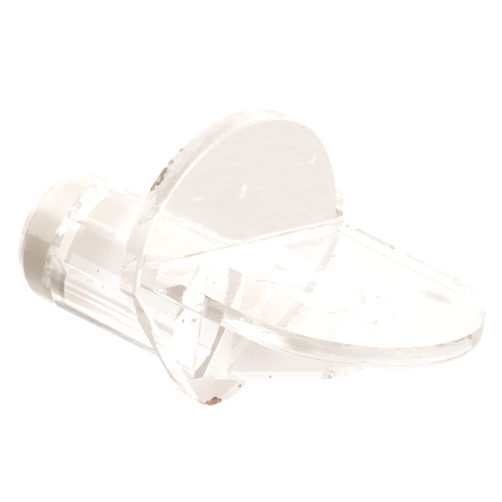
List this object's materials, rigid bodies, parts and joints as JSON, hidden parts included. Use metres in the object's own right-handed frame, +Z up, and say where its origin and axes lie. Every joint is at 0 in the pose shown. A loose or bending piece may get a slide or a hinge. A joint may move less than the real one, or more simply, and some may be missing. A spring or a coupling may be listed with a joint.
{
  "type": "shelf support pin",
  "caption": "Clear plastic shelf support pin: a ribbed peg presses into a drilled cabinet side, and a webbed tongue in front of a round-topped plate carries the shelf.",
  "frame": {"origin": "where the axis of the peg meets the back face of the plate", "axes": "-X along the peg into the cabinet side, +X along the tongue under the shelf, +Z up out of the face that carries the shelf, Y across the plate"},
  "size_m": [0.0238, 0.0132, 0.014],
  "materials": {
    "clear_plastic": "clear moulded plastic, polished, with fine scratches and a little dirt along the rim"
  },
  "bodies": {
    "root": {"shelf_support_pin": "clear_plastic"}
  },
  "joints": []
}
